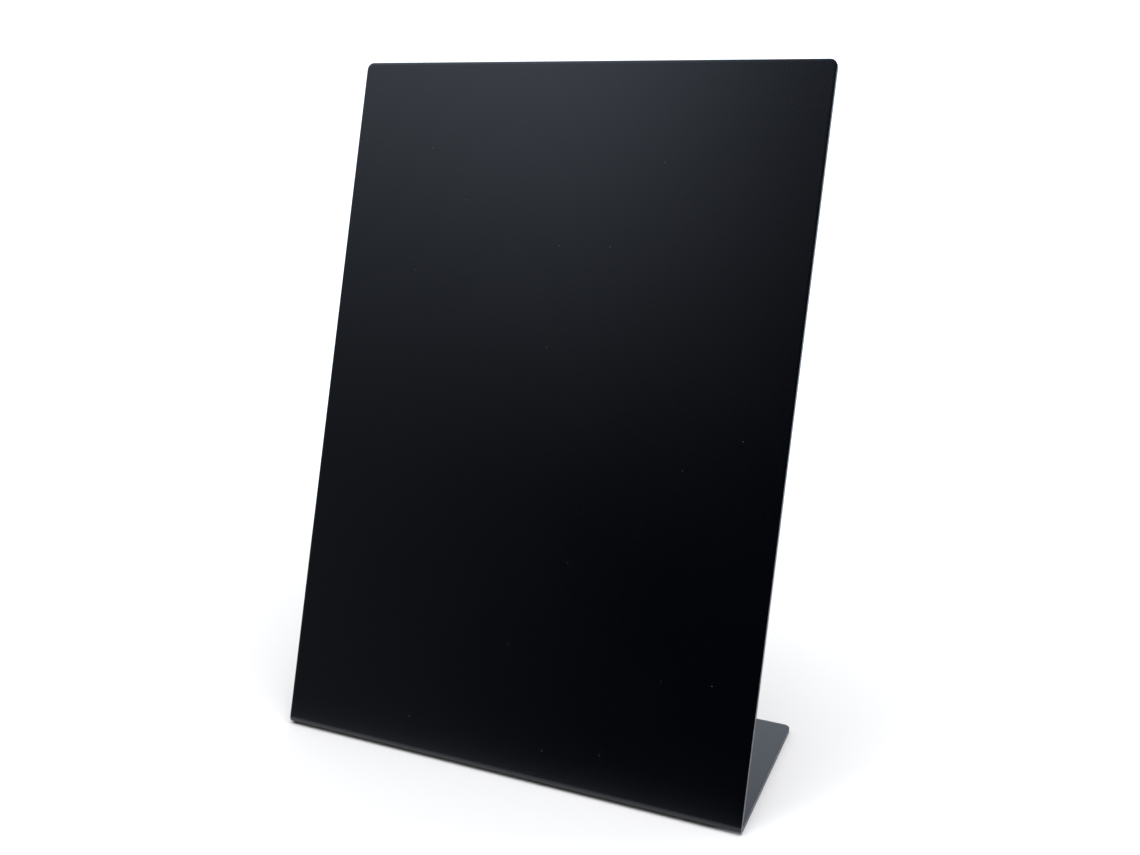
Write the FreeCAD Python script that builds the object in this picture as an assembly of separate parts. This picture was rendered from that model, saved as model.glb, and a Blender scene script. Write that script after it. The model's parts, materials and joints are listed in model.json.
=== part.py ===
import FreeCAD, Part
import math
import os

# Tabletop sign stand: one composite panel, V-grooved on its inner side and folded into an L.
# The sheet is a sandwich of two thin aluminium skins on a polyethylene core.  The groove cuts
# the inner skin and the core in two, and only the outer skin runs round the fold in one piece.
#
# Frame: X runs across the width, the sign faces -Y, the foot runs back towards +Y, Z is up.
# The origin is on the ground, at the centre of the bounding box's underside.
# All lengths are in millimetres.

# The sign panel and the foot.
PANEL_WIDTH = 210.0
PANEL_HEIGHT = 297.0  # flat front face, measured up the slope from the end of the bend
PANEL_LEAN_DEG = 18.0  # backwards from the vertical
FOOT_DEPTH = 85.0  # from the sharp corner that the two outer faces would meet in
CORNER_RADIUS = 3.0  # the two top corners of the panel and the two rear corners of the foot

# The composite sheet.
SHEET_THICKNESS = 2.0
SKIN_THICKNESS = 0.3
BEND_RADIUS = 2.6  # outer face of the outer skin

# The thin self-adhesive pads that the foot stands on.
PAD_DIAMETER = 12.0
PAD_THICKNESS = 0.25
PAD_EDGE_RADIUS = 0.08
PAD_SIDE_INSET = 16.0  # pad centre to the side of the foot
PAD_FRONT_INSET = 16.0  # pad centre to the sharp corner at the front
PAD_REAR_INSET = 14.0  # pad centre to the rear edge of the foot

# The core lies between the two skins.
CORE_START = SKIN_THICKNESS
CORE_END = SHEET_THICKNESS - SKIN_THICKNESS
INNER_BEND_RADIUS = BEND_RADIUS - SKIN_THICKNESS

# The fold turns the sheet through the angle between the foot and the panel.
LEAN = math.radians(PANEL_LEAN_DEG)
FOLD_ANGLE = math.pi / 2 + LEAN
# Along either outer face, each millimetre of depth moves the mitre plane this much further in.
MITRE_SLOPE = math.tan(FOLD_ANGLE / 2)
TANGENT_LENGTH = BEND_RADIUS * MITRE_SLOPE
PANEL_LENGTH = TANGENT_LENGTH + PANEL_HEIGHT

# The sharp corner is set so that the bounding box is centred on the origin, front to back.
FRONT_REACH = TANGENT_LENGTH - BEND_RADIUS
REAR_REACH = PANEL_LENGTH * math.sin(LEAN) + SHEET_THICKNESS * math.cos(LEAN)
SHARP_CORNER = FreeCAD.Vector(0, -(FRONT_REACH + REAR_REACH) / 2, PAD_THICKNESS)
ACROSS = FreeCAD.Vector(1, 0, 0)

# Each run of the sheet: the way it leaves the fold, the way from its outer face to its inner
# face, and its length from the sharp corner.
FOOT = {
    "along": FreeCAD.Vector(0, 1, 0),
    "inward": FreeCAD.Vector(0, 0, 1),
    "length": FOOT_DEPTH,
}
PANEL = {
    "along": FreeCAD.Vector(0, math.sin(LEAN), math.cos(LEAN)),
    "inward": FreeCAD.Vector(0, math.cos(LEAN), -math.sin(LEAN)),
    "length": PANEL_LENGTH,
}


def sheet_point(run, along, depth, x=-PANEL_WIDTH / 2):
    """A point of one run, by its distance from the sharp corner and its depth in the sheet."""
    return SHARP_CORNER + run["along"] * along + run["inward"] * depth + ACROSS * x


def mitre_point(depth):
    """The point of the mitre plane at a given depth; the same one for both runs."""
    return sheet_point(FOOT, depth * MITRE_SLOPE, depth)


def bend_middle(radius):
    """Where an arc about the bend's centre crosses the mitre plane."""
    centre = mitre_point(BEND_RADIUS)
    corner = sheet_point(FOOT, 0, 0)
    towards_corner = (corner - centre).normalize()
    return centre + towards_corner * radius


def line(start, end):
    return Part.LineSegment(start, end).toShape()


def across_width(edges):
    """A solid as wide as the stand, from the edges of its side profile."""
    face = Part.Face(Part.Wire(edges))
    return face.extrude(ACROSS * PANEL_WIDTH)


def corner_cutter(run, side):
    """The waste outside the rounded corner at the free end of a run."""
    edge_x = side * PANEL_WIDTH / 2
    inner_x = edge_x - side * CORNER_RADIUS
    arc_start = run["length"] - CORNER_RADIUS
    arc_middle_offset = CORNER_RADIUS * math.sin(math.pi / 4)
    square_corner = sheet_point(run, run["length"], 0, edge_x)
    side_end = sheet_point(run, arc_start, 0, edge_x)
    top_end = sheet_point(run, run["length"], 0, inner_x)
    arc_middle_x = inner_x + side * arc_middle_offset
    arc_middle = sheet_point(run, arc_start + arc_middle_offset, 0, arc_middle_x)
    arc = Part.Arc(side_end, arc_middle, top_end).toShape()
    outline = Part.Wire([arc, line(top_end, square_corner), line(square_corner, side_end)])
    return Part.Face(outline).extrude(run["inward"] * SHEET_THICKNESS)


def round_corners(layer, runs):
    """Takes both free corners of each run off a layer of the sheet."""
    for run in runs:
        for side in (-1, 1):
            layer = layer.cut(corner_cutter(run, side))
    return layer


def outer_skin():
    """The one skin that covers the front, goes round the fold and covers the foot's underside."""
    foot_end = sheet_point(FOOT, FOOT["length"], 0)
    foot_end_inside = sheet_point(FOOT, FOOT["length"], SKIN_THICKNESS)
    foot_tangent = sheet_point(FOOT, TANGENT_LENGTH, 0)
    foot_tangent_inside = sheet_point(FOOT, TANGENT_LENGTH, SKIN_THICKNESS)
    panel_end = sheet_point(PANEL, PANEL["length"], 0)
    panel_end_inside = sheet_point(PANEL, PANEL["length"], SKIN_THICKNESS)
    panel_tangent = sheet_point(PANEL, TANGENT_LENGTH, 0)
    panel_tangent_inside = sheet_point(PANEL, TANGENT_LENGTH, SKIN_THICKNESS)
    outer_arc = Part.Arc(foot_tangent, bend_middle(BEND_RADIUS), panel_tangent)
    inner_arc = Part.Arc(panel_tangent_inside, bend_middle(INNER_BEND_RADIUS), foot_tangent_inside)
    skin = across_width([
        line(foot_end, foot_tangent),
        outer_arc.toShape(),
        line(panel_tangent, panel_end),
        line(panel_end, panel_end_inside),
        line(panel_end_inside, panel_tangent_inside),
        inner_arc.toShape(),
        line(foot_tangent_inside, foot_end_inside),
        line(foot_end_inside, foot_end),
    ])
    return round_corners(skin, [FOOT, PANEL])


def core(run):
    """One run's core: it follows the bend as far as the mitre plane that the groove leaves."""
    arc_end = sheet_point(run, TANGENT_LENGTH, CORE_START)
    centre = sheet_point(run, TANGENT_LENGTH, BEND_RADIUS)
    arc_start = bend_middle(INNER_BEND_RADIUS)
    chord_middle = (arc_start + arc_end) * 0.5
    arc_middle = centre + (chord_middle - centre).normalize() * INNER_BEND_RADIUS
    groove_bottom = mitre_point(CORE_END)
    outer_end = sheet_point(run, run["length"], CORE_START)
    inner_end = sheet_point(run, run["length"], CORE_END)
    slab = across_width([
        Part.Arc(arc_start, arc_middle, arc_end).toShape(),
        line(arc_end, outer_end),
        line(outer_end, inner_end),
        line(inner_end, groove_bottom),
        line(groove_bottom, arc_start),
    ])
    return round_corners(slab, [run])


def inner_skin(run):
    """One run's inner skin, cut to the mitre plane by the groove."""
    corners = [
        mitre_point(CORE_END),
        sheet_point(run, run["length"], CORE_END),
        sheet_point(run, run["length"], SHEET_THICKNESS),
        mitre_point(SHEET_THICKNESS),
    ]
    closed = corners + corners[:1]
    edges = [line(start, end) for start, end in zip(closed, closed[1:])]
    return round_corners(across_width(edges), [run])


def pad(x, along):
    """One round pad, stuck under the foot, with its lower edge rounded."""
    top = sheet_point(FOOT, along, 0, x)
    base = FreeCAD.Vector(top.x, top.y, 0)
    disc = Part.makeCylinder(PAD_DIAMETER / 2, PAD_THICKNESS, base)
    lower_edges = [edge for edge in disc.Edges if edge.BoundBox.ZMax < PAD_EDGE_RADIUS]
    return disc.makeFillet(PAD_EDGE_RADIUS, lower_edges)


def stand():
    """Every piece of the stand, by name."""
    pieces = {
        "outer_skin": outer_skin(),
        "panel_core": core(PANEL),
        "panel_rear_skin": inner_skin(PANEL),
        "foot_core": core(FOOT),
        "foot_top_skin": inner_skin(FOOT),
    }
    pad_x = PANEL_WIDTH / 2 - PAD_SIDE_INSET
    for side_name, x in (("left", -pad_x), ("right", pad_x)):
        pieces["pad_front_" + side_name] = pad(x, PAD_FRONT_INSET)
        pieces["pad_rear_" + side_name] = pad(x, FOOT_DEPTH - PAD_REAR_INSET)
    return pieces


os.makedirs("parts", exist_ok=True)
for name, shape in stand().items():
    if not shape.isValid() or len(shape.Solids) != 1:
        raise RuntimeError(name + " is not one sound solid")
    shape.exportStep(os.path.join("parts", name + ".step"))
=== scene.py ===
import json
import math
from functools import partial

import bmesh
import bpy
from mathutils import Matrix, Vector


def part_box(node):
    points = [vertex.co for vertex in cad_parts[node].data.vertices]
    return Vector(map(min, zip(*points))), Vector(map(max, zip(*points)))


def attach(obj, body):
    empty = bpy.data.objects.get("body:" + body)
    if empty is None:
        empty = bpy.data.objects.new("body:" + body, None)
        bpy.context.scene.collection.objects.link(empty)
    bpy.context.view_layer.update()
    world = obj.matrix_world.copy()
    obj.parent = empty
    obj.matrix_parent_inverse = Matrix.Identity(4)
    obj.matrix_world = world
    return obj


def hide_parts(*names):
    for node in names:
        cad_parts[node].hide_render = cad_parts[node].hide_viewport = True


# The looks of the tabletop sign stand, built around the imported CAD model, in metres.
# X runs across the width, the sign faces -Y, the foot runs back towards +Y, Z is up.

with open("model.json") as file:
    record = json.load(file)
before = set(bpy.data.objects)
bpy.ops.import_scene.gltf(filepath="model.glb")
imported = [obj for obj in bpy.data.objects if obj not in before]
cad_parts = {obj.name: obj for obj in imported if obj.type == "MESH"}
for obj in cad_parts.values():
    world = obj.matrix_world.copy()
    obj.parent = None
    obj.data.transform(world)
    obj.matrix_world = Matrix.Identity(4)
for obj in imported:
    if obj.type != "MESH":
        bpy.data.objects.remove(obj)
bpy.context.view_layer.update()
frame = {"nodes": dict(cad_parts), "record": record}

MM = 0.001

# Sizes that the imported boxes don't give.
BEND_RADIUS = 2.6 * MM  # outer face of the sheet at the fold
CORNER_RADIUS = 3.0 * MM  # free corners of the panel and the foot
EDGE_BREAK = 0.04 * MM  # deburred edge of a skin
WEAR_WIDTH = 1.2 * MM  # how far in from an edge its wear reaches
CORE_RECESS = 0.03 * MM  # how far the router leaves the core behind the skins' edges
PAD_BREAK = 0.05 * MM  # upper edge of a pad
PAD_LOWER_RADIUS = 0.08 * MM  # lower edge of a pad

# How finely curves are divided.
BEND_STEPS = 16  # in each half of the fold
CORNER_STEPS = 12
EDGE_STEPS = 3
PAD_EDGE_STEPS = 6
PAD_SEGMENTS = 96
GUARD = 0.5 * MM  # a narrow strip beside each curve, so that flat faces stay flat when shaded
SHARP_ANGLE = math.radians(25)  # edges sharper than this are not smoothed

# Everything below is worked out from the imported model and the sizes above.
skin_low, skin_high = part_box("outer_skin")
top_skin_low, top_skin_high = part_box("foot_top_skin")
mounts = {mount["name"]: mount for mount in frame["record"]["mounts"]}
face_normal = Vector(mounts["sign_face"]["axis"]).normalized()
lean = math.asin(face_normal.z)
half_width = skin_high.x
sheet_thickness = top_skin_high.z - skin_low.z
skin_thickness = top_skin_high.z - top_skin_low.z
half_fold_angle = (math.pi / 2 + lean) / 2
half_fold_length = BEND_RADIUS * half_fold_angle
mitre_slope = math.tan(half_fold_angle)
tangent_length = BEND_RADIUS * mitre_slope
sharp_corner = Vector((0, skin_low.y - tangent_length + BEND_RADIUS, skin_low.z))
bend_centre = sharp_corner + Vector((0, tangent_length, BEND_RADIUS))

# The two flat runs of the sheet. Each starts at the sharp corner, where the two outer faces
# would meet without the fold. The sign is the way that the unfolded sheet's length counts.
FOOT = {
    "along": Vector((0, 1, 0)),
    "inward": Vector((0, 0, 1)),
    "length": top_skin_high.y - sharp_corner.y,
    "sign": -1,
}
PANEL = {
    "along": Vector((0, math.sin(lean), math.cos(lean))),
    "inward": -face_normal,
    "length": (skin_high.z - sharp_corner.z) / math.cos(lean),
    "sign": 1,
}


# ---------------------------------------------------------------- mesh

def run_point(run, along, depth):
    """A point of one run of the sheet, from its distance to the sharp corner and its depth."""
    return sharp_corner + run["along"] * along + run["inward"] * depth


def bend_point(run, share, depth):
    """A point on the fold, from its middle (share 0) to where the run starts (share 1)."""
    to_middle = (sharp_corner - bend_centre).normalized()
    to_run = -run["inward"]
    outward = to_middle.slerp(to_run, share)
    return bend_centre + outward * (BEND_RADIUS - depth)


def corner_stations(run, inset):
    """Distances from the sharp corner, and half widths, up to and round a run's free corner."""
    centre_along = run["length"] - CORNER_RADIUS
    centre_width = half_width - CORNER_RADIUS
    radius = CORNER_RADIUS - inset
    side = half_width - inset
    stations = [(tangent_length + GUARD, side), (centre_along - GUARD, side)]
    for step in range(CORNER_STEPS + 1):
        angle = math.pi / 2 * step / CORNER_STEPS
        along = centre_along + radius * math.sin(angle)
        width = centre_width + radius * math.cos(angle)
        stations.append((along, width))
    return stations


def run_outline(run, inset, depth):
    """One edge loop of a layer, from the fold's middle to the run's free end.

    Each station is a point in the side profile, a half width and an unfolded length. In the
    outer half of the sheet the loop follows the fold. In the inner half, which the groove
    cuts in two, the loop is straight and stops at the mitre plane.
    """
    curved = depth < sheet_thickness / 2
    mitre_start = depth * mitre_slope
    loop = []
    for step in range(BEND_STEPS + 1):
        share = step / BEND_STEPS
        if curved:
            point = bend_point(run, share, depth)
        else:
            along = mitre_start + (tangent_length - mitre_start) * share
            point = run_point(run, along, depth)
        loop.append((point, half_width - inset, half_fold_length * share * run["sign"]))
    for along, width in corner_stations(run, inset):
        unfolded = half_fold_length + along - tangent_length
        loop.append((run_point(run, along, depth), width, unfolded * run["sign"]))
    return loop


def folded_outline(inset, depth):
    """One edge loop of the outer skin, from the foot's free end over the fold to the panel's."""
    foot_half = run_outline(FOOT, inset, depth)
    panel_half = run_outline(PANEL, inset, depth)
    return foot_half[::-1] + panel_half[1:]


def turn_faces_outwards(mesh):
    shell = bmesh.new()
    shell.from_mesh(mesh)
    bmesh.ops.recalc_face_normals(shell, faces=shell.faces)
    shell.to_mesh(mesh)
    shell.free()


def mesh_object(name, points, faces, face_materials, materials):
    """A piece with its materials, smooth where it curves and sharp where it has an edge."""
    mesh = bpy.data.meshes.new(name)
    mesh.from_pydata(points, [], faces)
    for material in materials:
        mesh.materials.append(material)
    mesh.polygons.foreach_set("material_index", face_materials)
    mesh.validate()
    turn_faces_outwards(mesh)
    mesh.shade_smooth()
    mesh.set_sharp_from_angle(angle=SHARP_ANGLE)
    piece = bpy.data.objects.new(name, mesh)
    bpy.context.scene.collection.objects.link(piece)
    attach(piece, "root")
    return piece


def add_attribute(piece, name, kind, values):
    """Stores a value for each point, for the materials to read."""
    attribute = piece.data.attributes.new(name, kind, "POINT")
    key = "vector" if kind == "FLOAT_VECTOR" else "value"
    attribute.data.foreach_set(key, values)


def layer_faces(loop_count, station_count, band_materials):
    """The faces that close a layer, and their materials.

    Every loop is two rows of points, its left side and its right side, station by station.
    mesh_object turns the faces outwards, so the order round each face is free here.
    """
    faces, face_materials = [], []
    left, right = 0, 1
    last = loop_count - 1

    def add(band, corners):
        faces.append([(loop * 2 + side) * station_count + station for loop, side, station in corners])
        face_materials.append(band_materials[band])

    for station in range(station_count - 1):
        after = station + 1
        for loop, band in ((0, 0), (last, last + 1)):
            here = [(loop, left, station), (loop, right, station)]
            there = [(loop, right, after), (loop, left, after)]
            add(band, here + there)
        for loop in range(last):
            for side in (left, right):
                first = [(loop, side, station), (loop, side, after)]
                second = [(loop + 1, side, after), (loop + 1, side, station)]
                add(loop + 1, first + second)
    for loop in range(last):
        for end in (0, station_count - 1):
            left_edge = [(loop, left, end), (loop + 1, left, end)]
            right_edge = [(loop + 1, right, end), (loop, right, end)]
            add(loop + 1, left_edge + right_edge)
    return faces, face_materials


def layer(name, outline, levels, materials, band_materials):
    """A closed layer of the sheet, from one edge loop at each level.

    A level is an inset from the sheet's edge, a depth from its outer face, and its wear.
    band_materials has one entry for the first face, one for each band between two loops, and
    one for the last face.
    """
    loops = [outline(inset, depth) for inset, depth, _ in levels]
    points, sheet_places, wear = [], [], []
    for loop, (_, depth, worn) in zip(loops, levels):
        for side in (-1, 1):
            for point, width, unfolded in loop:
                points.append(Vector((side * width, point.y, point.z)))
                sheet_places += [side * width, unfolded, depth]
                wear.append(worn)
    faces, face_materials = layer_faces(len(loops), len(loops[0]), band_materials)
    piece = mesh_object(name, points, faces, face_materials, materials)
    add_attribute(piece, "sheet", "FLOAT_VECTOR", sheet_places)
    add_attribute(piece, "wear", "FLOAT", wear)
    return piece


def skin_levels(exposed_depth, bonded_depth):
    """The levels of a skin, from its exposed face over the deburred edge to its bonded face."""
    direction = 1 if bonded_depth > exposed_depth else -1
    levels = [(WEAR_WIDTH, exposed_depth, 0.0)]
    for step in range(EDGE_STEPS + 1):
        angle = math.pi / 2 * step / EDGE_STEPS
        inset = EDGE_BREAK * (1 - math.sin(angle))
        depth = exposed_depth + direction * EDGE_BREAK * (1 - math.cos(angle))
        levels.append((inset, depth, 1.0))
    levels.append((0.0, bonded_depth, 1.0))
    return levels


# The exposed face, the strip along it and the deburred edge are coated. The cut edge and the
# bonded face are bare.
COATED, BARE = 0, 1
SKIN_BANDS = [COATED] * (EDGE_STEPS + 2) + [BARE, BARE]


def outer_skin(materials):
    levels = skin_levels(0.0, skin_thickness)
    piece = layer("front_and_underside_skin", folded_outline, levels, materials, SKIN_BANDS)
    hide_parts("outer_skin")


def inner_skin(name, run, node, materials):
    levels = skin_levels(sheet_thickness, sheet_thickness - skin_thickness)
    piece = layer(name, partial(run_outline, run), levels, materials, SKIN_BANDS)
    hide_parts(node)


def core(name, run, node, material):
    """The core of one run, its edges set back a little between the two skins."""
    first = skin_thickness
    second = sheet_thickness - skin_thickness
    levels = [
        (0.0, first, 0.0),
        (CORE_RECESS, first + CORE_RECESS, 0.0),
        (CORE_RECESS, second - CORE_RECESS, 0.0),
        (0.0, second, 0.0),
    ]
    piece = layer(name, partial(run_outline, run), levels, [material], [0] * (len(levels) + 1))
    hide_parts(node)


def pad_profile(low, high):
    """Radii and heights of a pad, from its rounded lower edge to its upper face."""
    radius = (high.x - low.x) / 2
    profile = []
    for step in range(PAD_EDGE_STEPS + 1):
        angle = math.pi / 2 * step / PAD_EDGE_STEPS
        ring_radius = radius - PAD_LOWER_RADIUS * (1 - math.sin(angle))
        height = low.z + PAD_LOWER_RADIUS * (1 - math.cos(angle))
        profile.append((ring_radius, height))
    profile.append((radius, high.z - PAD_BREAK))
    profile.append((radius - PAD_BREAK, high.z))
    return profile


def pad(node, material):
    """A die-cut round pad, its lower edge rounded."""
    low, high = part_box(node)
    centre = (low + high) / 2
    profile = pad_profile(low, high)
    points, faces = [], []
    for ring_radius, height in profile:
        for segment in range(PAD_SEGMENTS):
            angle = 2 * math.pi * segment / PAD_SEGMENTS
            x = centre.x + ring_radius * math.cos(angle)
            y = centre.y + ring_radius * math.sin(angle)
            points.append((x, y, height))
    for ring in range(len(profile) - 1):
        base = ring * PAD_SEGMENTS
        above = base + PAD_SEGMENTS
        for segment in range(PAD_SEGMENTS):
            after = (segment + 1) % PAD_SEGMENTS
            faces.append((base + segment, base + after, above + after, above + segment))
    top = (len(profile) - 1) * PAD_SEGMENTS
    faces.append(tuple(range(PAD_SEGMENTS)))
    faces.append(tuple(range(top, top + PAD_SEGMENTS)))
    piece = mesh_object(node + "_disc", points, faces, [0] * len(faces), [material])
    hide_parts(node)


# ---------------------------------------------------------------- shader nodes

def new_material(name, uniform):
    """A material with one Principled shader, whose uniform values are set on its own sockets."""
    material = bpy.data.materials.new(name)
    material.use_nodes = True
    tree = material.node_tree
    shader = tree.nodes["Principled BSDF"]
    for label, value in uniform.items():
        shader.inputs[label].default_value = value
    return material, tree, shader


def connect(tree, shader, colour, roughness, relief):
    """Leads a material's colour, roughness and relief into its shader."""
    tree.links.new(colour, shader.inputs["Base Color"])
    tree.links.new(roughness, shader.inputs["Roughness"])
    tree.links.new(relief, shader.inputs["Normal"])


def stored_value(tree, name, output):
    """A value that the piece stores for each of its points."""
    node = tree.nodes.new("ShaderNodeAttribute")
    node.attribute_name = name
    return node.outputs[output]


def coordinates(tree, source, stretch=(1, 1, 1)):
    """Where a texture is read: the unfolded sheet's own coordinates, or the object's."""
    if source == "sheet":
        place = stored_value(tree, "sheet", "Vector")
    else:
        place = tree.nodes.new("ShaderNodeTexCoord").outputs["Object"]
    mapping = tree.nodes.new("ShaderNodeMapping")
    mapping.inputs["Scale"].default_value = stretch
    tree.links.new(place, mapping.inputs["Vector"])
    return mapping.outputs["Vector"]


def noise(tree, place, size, detail, roughness=0.5):
    """Noise whose features are about this size."""
    node = tree.nodes.new("ShaderNodeTexNoise")
    node.inputs["Scale"].default_value = 1 / size
    node.inputs["Detail"].default_value = detail
    node.inputs["Roughness"].default_value = roughness
    tree.links.new(place, node.inputs["Vector"])
    return node.outputs["Fac"]


def remap(tree, value, span, levels=(0.0, 1.0)):
    """Turns a span of values into levels, which are held beyond the span's ends."""
    node = tree.nodes.new("ShaderNodeMapRange")
    labels = ("From Min", "From Max", "To Min", "To Max")
    for label, number in zip(labels, (*span, *levels)):
        node.inputs[label].default_value = number
    tree.links.new(value, node.inputs["Value"])
    return node.outputs["Result"]


def combine(tree, operation, first, second):
    """Arithmetic on two values, either of which may be a plain number."""
    node = tree.nodes.new("ShaderNodeMath")
    node.operation = operation
    for socket, value in zip(node.inputs, (first, second)):
        if isinstance(value, (int, float)):
            socket.default_value = value
        else:
            tree.links.new(value, socket)
    return node.outputs["Value"]


def blend_colours(tree, share, first, second):
    """A colour between two others, each a colour or another node's output."""
    node = tree.nodes.new("ShaderNodeMix")
    node.data_type = "RGBA"
    colour_inputs = [socket for socket in node.inputs if socket.type == "RGBA"]
    for socket, colour in zip(colour_inputs, (first, second)):
        if isinstance(colour, tuple):
            socket.default_value = (*colour, 1.0)
        else:
            tree.links.new(colour, socket)
    tree.links.new(share, node.inputs["Factor"])
    return next(socket for socket in node.outputs if socket.type == "RGBA")


def bump(tree, height, distance, under=None):
    """Surface relief of this depth, laid over another relief if there is one."""
    node = tree.nodes.new("ShaderNodeBump")
    node.inputs["Strength"].default_value = 1.0
    node.inputs["Distance"].default_value = distance
    tree.links.new(height, node.inputs["Height"])
    if under is not None:
        tree.links.new(under, node.inputs["Normal"])
    return node.outputs["Normal"]


# ---------------------------------------------------------------- materials

NOISE_SPAN = (0.3, 0.7)  # where nearly all values of a noise lie
PATCH_SPAN = (0.35, 0.65)  # a narrower part of it, for patches with clearer edges

# The black coating.
COATING = (0.0003, 0.0004, 0.0010)
COATING_LIGHTER = (0.0017, 0.0020, 0.0035)
COATING_WORN = (0.030, 0.032, 0.036)
COATING_SHEEN = (0.89, 0.915, 1.0, 1.0)
COATING_ROUGHNESS = (0.17, 0.22)
WORN_ROUGHNESS = 0.15  # added where the coating is worn
CLOUD_SIZE = 55 * MM
CLOUD_SHARE = 0.25  # of the coating's tone; the mottle has the rest
MOTTLE_SIZE = 0.9 * MM
MOTTLE_DEPTH = 0.025 * MM
GRAIN_SIZE = 0.32 * MM
GRAIN_DEPTH = 0.008 * MM
WAVE_SIZE = 5.0 * MM
WAVE_DEPTH = 0.004 * MM
SCUFF_SIZE = 2.2 * MM
SCUFF_SPAN = (0.50, 0.72)
WEAR_FALLOFF = 7.0  # how quickly the wear fades away from an edge

# Dust on the coating.
DUST_SPACING = 22 * MM
DUST_SIZE = 0.24 * MM
DUST_LEFT_OUT = 0.85  # the share of the spots without a speck
DUST_COLOUR = (0.12, 0.12, 0.12)

# The bare edges of the skins.
ALUMINIUM = (0.30, 0.31, 0.33)
ALUMINIUM_LIGHTER = (0.46, 0.47, 0.49)
ALUMINIUM_ROUGHNESS = (0.34, 0.52)
ROUTING_MARK_SIZE = 0.5 * MM
ROUTING_MARK_DEPTH = 0.006 * MM
TARNISH_SIZE = 8 * MM
LONG_ALONG_EDGE = (1, 1, 12)

# The routed edges of the cores.
CORE = (0.012, 0.012, 0.013)
CORE_LIGHTER = (0.022, 0.022, 0.024)
CORE_ROUGHNESS = (0.38, 0.55)
CHATTER_SIZE = 0.35 * MM
CHATTER_DEPTH = 0.012 * MM
CORE_PATCH_SIZE = 6 * MM
LONG_ACROSS_EDGE = (1, 1, 0.15)

# The pads.
RUBBER = (0.022, 0.022, 0.022)
RUBBER_SCUFFED = (0.050, 0.049, 0.047)
RUBBER_ROUGHNESS = (0.62, 0.82)
PEBBLE_SIZE = 0.25 * MM
PEBBLE_DEPTH = 0.02 * MM
RUBBER_SCUFF_SIZE = 3 * MM
RUBBER_SCUFF_SPAN = (0.45, 0.7)


def dust(tree, place):
    """A few pale specks, far apart, each well under a millimetre."""
    cells = tree.nodes.new("ShaderNodeTexVoronoi")
    cells.voronoi_dimensions = "2D"
    cells.inputs["Scale"].default_value = 1 / DUST_SPACING
    tree.links.new(place, cells.inputs["Vector"])
    split = tree.nodes.new("ShaderNodeSeparateColor")
    tree.links.new(cells.outputs["Color"], split.inputs["Color"])
    reach = DUST_SIZE / DUST_SPACING
    near = remap(tree, cells.outputs["Distance"], (reach / 2, reach), (1.0, 0.0))
    chosen = combine(tree, "GREATER_THAN", split.outputs["Red"], DUST_LEFT_OUT)
    return combine(tree, "MULTIPLY", near, chosen)


def edge_wear(tree, place):
    """How worn the coating is: broken scuffs that fade quickly away from the edges."""
    scuffs = noise(tree, place, SCUFF_SIZE, detail=5.0, roughness=0.7)
    near_edge = combine(tree, "POWER", stored_value(tree, "wear", "Fac"), WEAR_FALLOFF)
    return combine(tree, "MULTIPLY", near_edge, remap(tree, scuffs, SCUFF_SPAN))


def black_coating():
    """Satin black coil coating: a fine grain, faint cloudiness, thin wear along the edges."""
    material, tree, shader = new_material("black_coating", {"Specular Tint": COATING_SHEEN})
    place = coordinates(tree, "sheet")
    clouds = noise(tree, place, CLOUD_SIZE, detail=3.0)
    mottle = noise(tree, place, MOTTLE_SIZE, detail=3.0, roughness=0.6)
    grain = noise(tree, place, GRAIN_SIZE, detail=2.0)
    waves = noise(tree, place, WAVE_SIZE, detail=1.0)
    worn = edge_wear(tree, place)
    cloud_part = combine(tree, "MULTIPLY", clouds, CLOUD_SHARE)
    mottle_part = combine(tree, "MULTIPLY", mottle, 1 - CLOUD_SHARE)
    tone = combine(tree, "ADD", cloud_part, mottle_part)
    colour = blend_colours(tree, remap(tree, tone, NOISE_SPAN), COATING, COATING_LIGHTER)
    colour = blend_colours(tree, worn, colour, COATING_WORN)
    colour = blend_colours(tree, dust(tree, place), colour, DUST_COLOUR)
    roughness = remap(tree, tone, NOISE_SPAN, COATING_ROUGHNESS)
    roughness = combine(tree, "ADD", roughness, combine(tree, "MULTIPLY", worn, WORN_ROUGHNESS))
    relief = bump(tree, waves, WAVE_DEPTH)
    relief = bump(tree, mottle, MOTTLE_DEPTH, relief)
    relief = bump(tree, grain, GRAIN_DEPTH, relief)
    connect(tree, shader, colour, roughness, relief)
    return material


def cut_aluminium():
    """The bare edge of a skin, with fine routing marks along it."""
    material, tree, shader = new_material("cut_aluminium", {"Metallic": 1.0})
    place = coordinates(tree, "sheet", LONG_ALONG_EDGE)
    marks = noise(tree, place, ROUTING_MARK_SIZE, detail=4.0, roughness=0.7)
    tarnish = noise(tree, place, TARNISH_SIZE, detail=3.0)
    colour = blend_colours(tree, remap(tree, tarnish, PATCH_SPAN), ALUMINIUM, ALUMINIUM_LIGHTER)
    roughness = remap(tree, marks, NOISE_SPAN, ALUMINIUM_ROUGHNESS)
    connect(tree, shader, colour, roughness, bump(tree, marks, ROUTING_MARK_DEPTH))
    return material


def cut_core():
    """Routed black polyethylene: dull, with chatter marks across its edge."""
    material, tree, shader = new_material("cut_core", {})
    place = coordinates(tree, "sheet", LONG_ACROSS_EDGE)
    chatter = noise(tree, place, CHATTER_SIZE, detail=3.0, roughness=0.6)
    patches = noise(tree, place, CORE_PATCH_SIZE, detail=3.0)
    colour = blend_colours(tree, remap(tree, patches, PATCH_SPAN), CORE, CORE_LIGHTER)
    roughness = remap(tree, chatter, NOISE_SPAN, CORE_ROUGHNESS)
    connect(tree, shader, colour, roughness, bump(tree, chatter, CHATTER_DEPTH))
    return material


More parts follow.
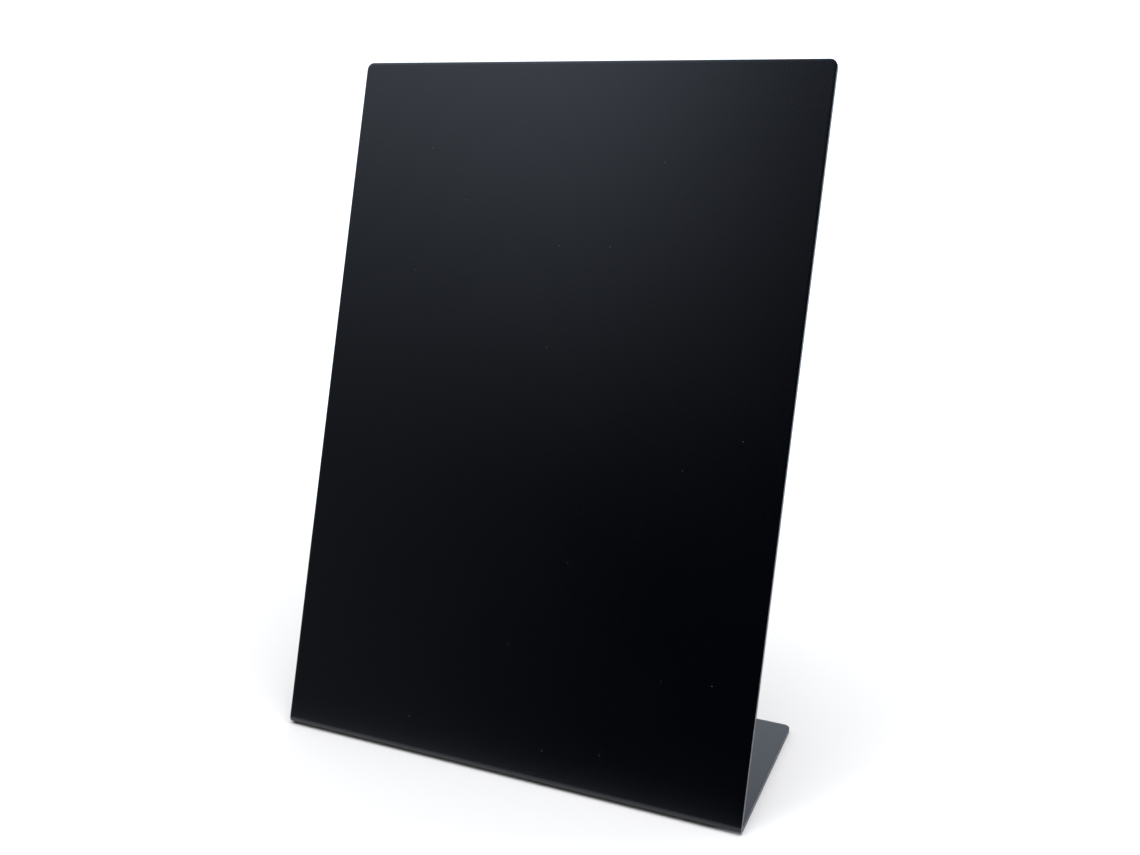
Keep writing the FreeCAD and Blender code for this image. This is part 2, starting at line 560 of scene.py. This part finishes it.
def pad_rubber():
    """Dark die-cut polyurethane film: matt and slightly pebbled, scuffed where it stands."""
    material, tree, shader = new_material("pad_rubber", {})
    place = coordinates(tree, "object")
    pebbles = noise(tree, place, PEBBLE_SIZE, detail=2.0)
    scuffs = noise(tree, place, RUBBER_SCUFF_SIZE, detail=4.0, roughness=0.65)
    colour = blend_colours(tree, remap(tree, scuffs, RUBBER_SCUFF_SPAN), RUBBER, RUBBER_SCUFFED)
    roughness = remap(tree, pebbles, NOISE_SPAN, RUBBER_ROUGHNESS)
    connect(tree, shader, colour, roughness, bump(tree, pebbles, PEBBLE_DEPTH))
    return material


# ---------------------------------------------------------------- studio

FLOOR_CENTRE = (-0.03, 0.10, 0)
FLOOR_RADIUS = 0.28
FLOOR_FADE_START = 0.19  # from here outwards the floor thins away into the white studio
FLOOR_SEGMENTS = 96
FLOOR_COLOUR = (0.645, 0.592, 0.548)
FLOOR_ROUGHNESS = 0.9
FLOOR_SHINE = 0.1

STUDIO_LIGHT = (0.87, 0.95, 1.04)
LAMP_WIDTH = 1.1
LAMP_WATTS = 29.7
LAMP_PLACE = (0.25, -0.05, 1.4)
LAMP_AIM = (0, 0.03, 0.05)

# How bright the room is, by direction: an axis, a span of the direction's part along it, and
# the brightness at the span's two ends.
BACK_WALL = ("Y", (0.05, 0.50), (0.0, 1.14))
BACK_WALL_DIMMING = ("Z", (0.55, 0.78), (1.0, 0.35))  # towards its top
CEILING = ("Z", (0.20, 0.65), (0.0, 1.0))
CEILING_CURVE = 2.15  # above 1, the ceiling's light starts more softly
CEILING_TO_LEFT = ("X", (-0.19, -0.40), (0.14, 1.93))
CEILING_FAR_LEFT = ("X", (-0.38, -0.70), (1.0, 0.75))
LEFT_WALL = ("X", (-0.32, -0.90), (0.0, 0.30))
ROOM_BRIGHTNESS = 1.25
BACKDROP_BRIGHTNESS = 1.2  # the least that the camera itself sees, in every direction

CAMERA_PLACE = (0.1937, -0.4203, 0.2754)
CAMERA_AZIMUTH_DEG = 23.26
CAMERA_ELEVATION_DEG = 17.48
CAMERA_LENS_MM = 36.3
CAMERA_SENSOR_MM = 36.0
CAMERA_SHIFT_UP = 0.0197
CAMERA_NEAREST = 0.01


def floor():
    """A plain pale floor that fades out into the white around it."""
    points = [(0, 0, 0)]
    for segment in range(FLOOR_SEGMENTS):
        angle = 2 * math.pi * segment / FLOOR_SEGMENTS
        points.append((FLOOR_RADIUS * math.cos(angle), FLOOR_RADIUS * math.sin(angle), 0))
    faces = []
    for segment in range(FLOOR_SEGMENTS):
        faces.append((0, segment + 1, (segment + 1) % FLOOR_SEGMENTS + 1))
    mesh = bpy.data.meshes.new("floor")
    mesh.from_pydata(points, [], faces)
    mesh.materials.append(floor_paint())
    disc = bpy.data.objects.new("floor", mesh)
    disc.location = FLOOR_CENTRE
    bpy.context.scene.collection.objects.link(disc)


def floor_paint():
    """One plain pale colour, which thins away towards the floor's rim."""
    material, tree, shader = new_material("floor", {
        "Base Color": (*FLOOR_COLOUR, 1.0),
        "Roughness": FLOOR_ROUGHNESS,
        "Specular IOR Level": FLOOR_SHINE,
    })
    distance = tree.nodes.new("ShaderNodeVectorMath")
    distance.operation = "LENGTH"
    tree.links.new(coordinates(tree, "object"), distance.inputs[0])
    solid = remap(tree, distance.outputs["Value"], (FLOOR_FADE_START, FLOOR_RADIUS), (1.0, 0.0))
    tree.links.new(solid, shader.inputs["Alpha"])
    return material


def overhead_light():
    """One large soft box above the stand, to its right and a little in front of its middle."""
    lamp = bpy.data.lights.new("overhead", "AREA")
    lamp.shape = "RECTANGLE"
    lamp.size = LAMP_WIDTH
    lamp.size_y = LAMP_WIDTH
    lamp.energy = LAMP_WATTS
    lamp.color = STUDIO_LIGHT
    holder = bpy.data.objects.new("overhead", lamp)
    holder.location = LAMP_PLACE
    aim = Vector(LAMP_AIM) - holder.location
    holder.rotation_euler = aim.to_track_quat("-Z", "Y").to_euler()
    bpy.context.scene.collection.objects.link(holder)


def surroundings():
    """A white studio behind, a bright ceiling up to the left, and a dark room in front."""
    world = bpy.data.worlds.new("studio")
    world.use_nodes = True
    bpy.context.scene.world = world
    tree = world.node_tree
    background = tree.nodes["Background"]
    direction = tree.nodes.new("ShaderNodeTexCoord").outputs["Generated"]
    split = tree.nodes.new("ShaderNodeSeparateXYZ")
    tree.links.new(direction, split.inputs["Vector"])

    def brightness_towards(axis, span, levels):
        return remap(tree, split.outputs[axis], span, levels)

    back_wall = brightness_towards(*BACK_WALL)
    back_wall = combine(tree, "MULTIPLY", back_wall, brightness_towards(*BACK_WALL_DIMMING))
    ceiling = combine(tree, "POWER", brightness_towards(*CEILING), CEILING_CURVE)
    ceiling = combine(tree, "MULTIPLY", ceiling, brightness_towards(*CEILING_TO_LEFT))
    ceiling = combine(tree, "MULTIPLY", ceiling, brightness_towards(*CEILING_FAR_LEFT))
    front = combine(tree, "ADD", ceiling, brightness_towards(*LEFT_WALL))
    room = combine(tree, "MAXIMUM", back_wall, front)
    room = combine(tree, "MULTIPLY", room, ROOM_BRIGHTNESS)
    seen_by_camera = tree.nodes.new("ShaderNodeLightPath").outputs["Is Camera Ray"]
    backdrop = combine(tree, "MULTIPLY", seen_by_camera, BACKDROP_BRIGHTNESS)
    tree.links.new(combine(tree, "MAXIMUM", room, backdrop), background.inputs["Strength"])
    background.inputs["Color"].default_value = (*STUDIO_LIGHT, 1.0)


def camera():
    """The camera, in front and to the right, looking down at the stand."""
    data = bpy.data.cameras.new("camera")
    data.sensor_width = CAMERA_SENSOR_MM
    data.lens = CAMERA_LENS_MM
    data.shift_y = CAMERA_SHIFT_UP
    data.clip_start = CAMERA_NEAREST
    holder = bpy.data.objects.new("camera", data)
    holder.location = CAMERA_PLACE
    tilt = math.pi / 2 - math.radians(CAMERA_ELEVATION_DEG)
    holder.rotation_euler = (tilt, 0, math.radians(CAMERA_AZIMUTH_DEG))
    bpy.context.scene.collection.objects.link(holder)
    bpy.context.scene.camera = holder


# ---------------------------------------------------------------- the stand in its studio

coating = black_coating()
bare_edge = cut_aluminium()
core_edge = cut_core()
rubber = pad_rubber()

outer_skin([coating, bare_edge])
inner_skin("panel_back_skin", PANEL, "panel_rear_skin", [coating, bare_edge])
inner_skin("foot_upper_skin", FOOT, "foot_top_skin", [coating, bare_edge])
core("panel_core_slab", PANEL, "panel_core", core_edge)
core("foot_core_slab", FOOT, "foot_core", core_edge)
for node in sorted(frame["nodes"]):
    if node.startswith("pad_"):
        pad(node, rubber)

floor()
overhead_light()
surroundings()
camera()
bpy.context.scene.view_settings.view_transform = "Standard"
